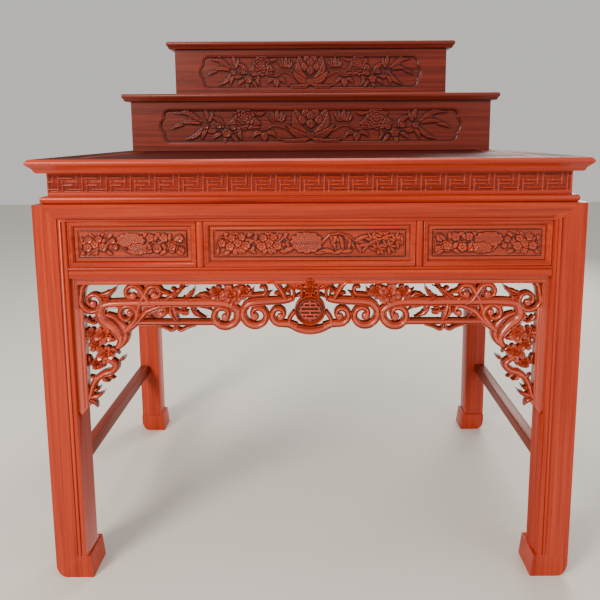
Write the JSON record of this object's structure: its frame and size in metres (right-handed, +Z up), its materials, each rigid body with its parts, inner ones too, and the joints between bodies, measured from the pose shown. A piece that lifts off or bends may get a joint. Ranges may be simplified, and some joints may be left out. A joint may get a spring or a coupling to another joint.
{
  "type": "altar table with stepped riser",
  "caption": "Carved household altar table with an openwork apron, key-fret waist, carved frieze panels, stepped feet and a two-step riser on its top.",
  "frame": {"origin": "on the floor under the middle of the table top", "axes": "+Z up, -Y towards the carved front, +X to the right of someone who faces the front"},
  "size_m": [1.57, 0.98, 1.713],
  "materials": {
    "frame_wood": "Red-brown varnished wood, satin gloss, straight grain along each member",
    "carving_wood": "Red-brown varnished carved wood, glossy, darker in the hollows",
    "panel_wood": "Red-brown varnished carved panel, glossy, darker in the hollows",
    "top_wood": "Dark red-brown varnished wood, glossy",
    "riser_wood": "Dark maroon-brown varnished wood, satin gloss, straight grain",
    "plain_wood": "Red-brown varnished wood, plainer and duller, on the sides, back and underside"
  },
  "bodies": {
    "root": {"apron_back": "plain_wood", "apron_bracket_left": "carving_wood", "apron_bracket_right": "carving_wood", "apron_centre": "carving_wood", "apron_side_left": "plain_wood", "apron_side_right": "plain_wood", "back_lower_rail": "plain_wood", "back_panel": "plain_wood", "back_top_rail": "plain_wood", "carved_panel_centre": "panel_wood", "carved_panel_left": "panel_wood", "carved_panel_right": "panel_wood", "front_lower_rail": "frame_wood", "front_top_rail": "frame_wood", "leg_back_left": "frame_wood", "leg_back_right": "frame_wood", "leg_front_left": "frame_wood", "leg_front_right": "frame_wood", "lower_step_back": "riser_wood", "lower_step_front": "riser_wood", "lower_step_left": "riser_wood", "lower_step_right": "riser_wood", "lower_step_top": "riser_wood", "panel_divider_left": "frame_wood", "panel_divider_right": "frame_wood", "panel_frame_centre": "frame_wood", "panel_frame_left": "frame_wood", "panel_frame_right": "frame_wood", "side_lower_rail_left": "frame_wood", "side_lower_rail_right": "frame_wood", "side_panel_left": "plain_wood", "side_panel_right": "plain_wood", "side_stretcher_left": "frame_wood", "side_stretcher_right": "frame_wood", "side_top_rail_left": "frame_wood", "side_top_rail_right": "frame_wood", "top_frame_back": "frame_wood", "top_frame_front": "frame_wood", "top_frame_left": "frame_wood", "top_frame_right": "frame_wood", "top_panel": "top_wood", "upper_step_back": "riser_wood", "upper_step_front": "riser_wood", "upper_step_left": "riser_wood", "upper_step_right": "riser_wood", "upper_step_top": "riser_wood", "waist_back": "frame_wood", "waist_front": "frame_wood", "waist_left": "frame_wood", "waist_moulding_back": "frame_wood", "waist_moulding_front": "frame_wood", "waist_moulding_left": "frame_wood", "waist_moulding_right": "frame_wood", "waist_right": "frame_wood"}
  },
  "joints": []
}
